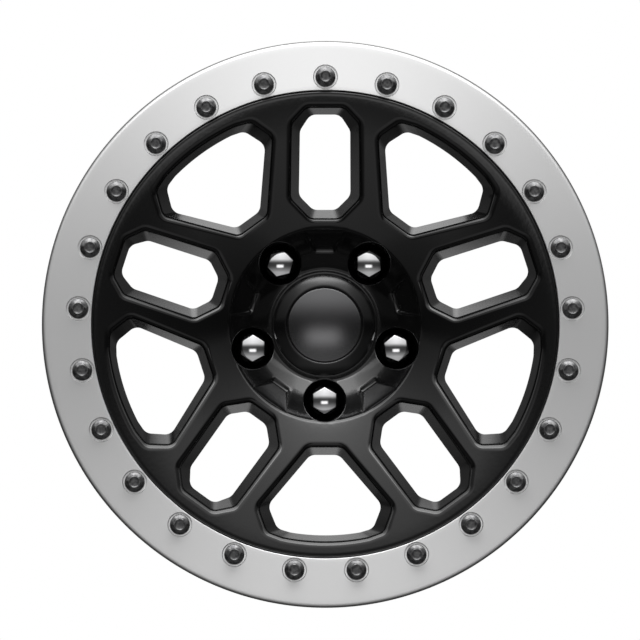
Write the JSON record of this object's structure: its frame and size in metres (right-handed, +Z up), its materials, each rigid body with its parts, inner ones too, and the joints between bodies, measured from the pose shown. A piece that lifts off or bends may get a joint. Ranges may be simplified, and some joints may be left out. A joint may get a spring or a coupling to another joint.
{
  "type": "beadlock wheel",
  "caption": "One-piece cast off-road wheel whose outer tyre bead is clamped by a machined ring and a full circle of flange bolts, with lug nuts and a clipped centre cap",
  "frame": {"origin": "centre of the mounting pad, on the wheel's axis, in the plane that meets the vehicle's hub", "axes": "Y is the wheel's axis, +Y points to the vehicle and the face looks along -Y; Z is up with a ring bolt and a spoke at the top; X is to the right seen from the front"},
  "size_m": [0.4709, 0.2356, 0.471],
  "materials": {
    "gloss_black": "gloss black powder coat under clear lacquer on cast aluminium",
    "machined_aluminium": "satin turned face with fine concentric tool marks",
    "dark_steel": "dark grey coated steel, satin",
    "plain_steel": "plain steel",
    "chrome": "bright chrome plate",
    "black_plastic": "semi-gloss black moulding",
    "satin_disc": "satin graphite, domed, unmarked"
  },
  "bodies": {
    "root": {"wheel_casting": "gloss_black", "beadlock_ring": "machined_aluminium", "ring_bolts": "dark_steel", "thread_inserts": "plain_steel", "lug_nuts": "chrome", "cap_body": "black_plastic", "cap_disc": "satin_disc", "cap_wire_ring": "plain_steel"}
  },
  "joints": []
}
